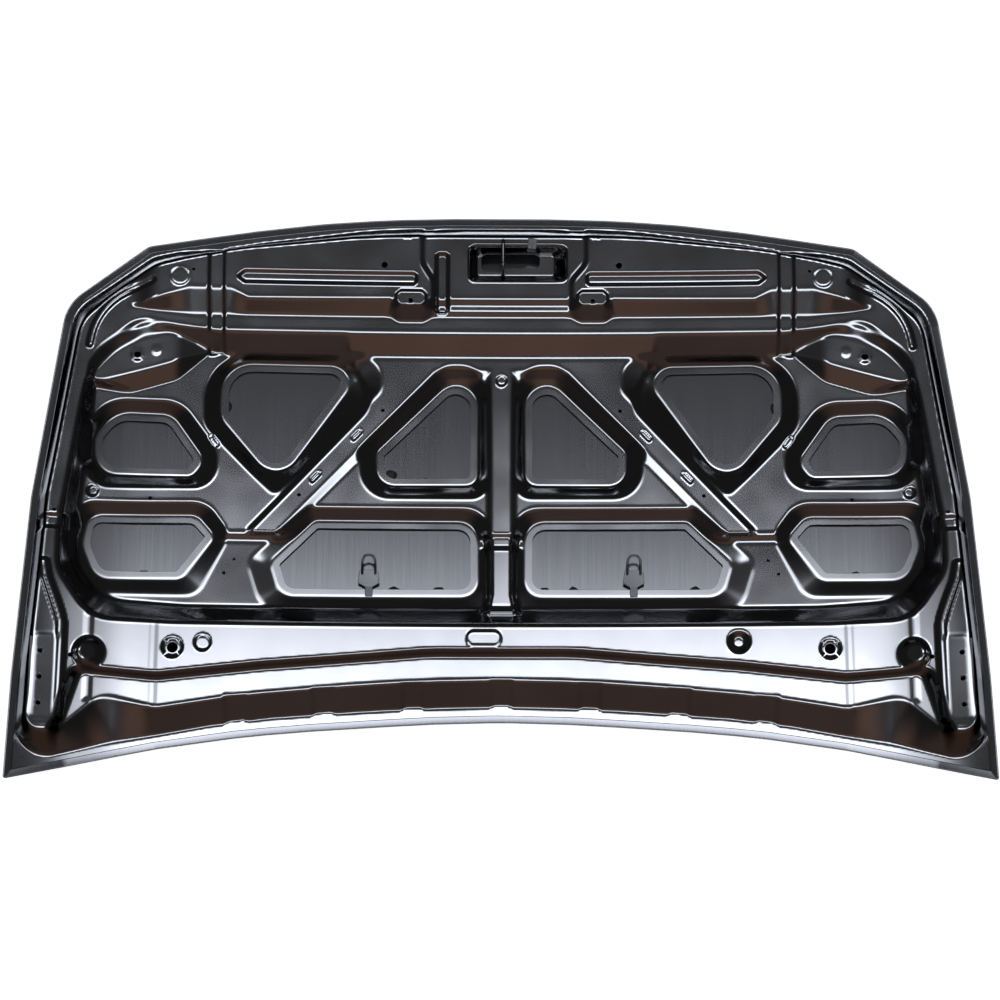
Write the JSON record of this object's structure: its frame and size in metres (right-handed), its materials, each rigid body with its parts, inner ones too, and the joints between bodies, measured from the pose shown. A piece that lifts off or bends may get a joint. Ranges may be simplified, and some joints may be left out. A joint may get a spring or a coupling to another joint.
{
  "type": "car bonnet",
  "caption": "Steel car bonnet seen from the engine side: crowned skin hemmed round a pressed, lightened inner panel with latch loop and hinge seats.",
  "frame": {"origin": "under the middle of the whole bonnet, on the lowest level of its outer skin", "axes": "+X to the right-hand side as seen in the picture, +Y to the front edge, +Z out of the engine side"},
  "size_m": [1.4818, 0.9058, 0.1171],
  "materials": {
    "skin_primer": "satin",
    "panel_primer": "satin",
    "bracket_primer": "satin",
    "loop_steel": "satin",
    "nut_steel": "satin",
    "sealing_compound": "matt"
  },
  "bodies": {
    "root": {"outer_panel": "skin_primer", "inner_panel": "panel_primer", "latch_reinforcement": "bracket_primer", "striker_loop": "loop_steel", "catch_tab": "loop_steel", "hose_bracket_left": "bracket_primer", "hinge_reinforcement_left": "bracket_primer", "hinge_nut_left_1": "nut_steel", "hinge_nut_left_2": "nut_steel", "hinge_nut_left_3": "nut_steel", "hose_bracket_right": "bracket_primer", "hinge_reinforcement_right": "bracket_primer", "hinge_nut_right_1": "nut_steel", "hinge_nut_right_2": "nut_steel", "hinge_nut_right_3": "nut_steel", "mastic_pad_01": "sealing_compound", "mastic_pad_02": "sealing_compound", "mastic_pad_03": "sealing_compound", "mastic_pad_04": "sealing_compound", "mastic_pad_05": "sealing_compound", "mastic_pad_06": "sealing_compound", "mastic_pad_07": "sealing_compound", "mastic_pad_08": "sealing_compound", "mastic_pad_09": "sealing_compound", "mastic_pad_10": "sealing_compound", "mastic_pad_11": "sealing_compound", "mastic_pad_12": "sealing_compound", "mastic_pad_13": "sealing_compound", "mastic_pad_14": "sealing_compound"}
  },
  "joints": []
}
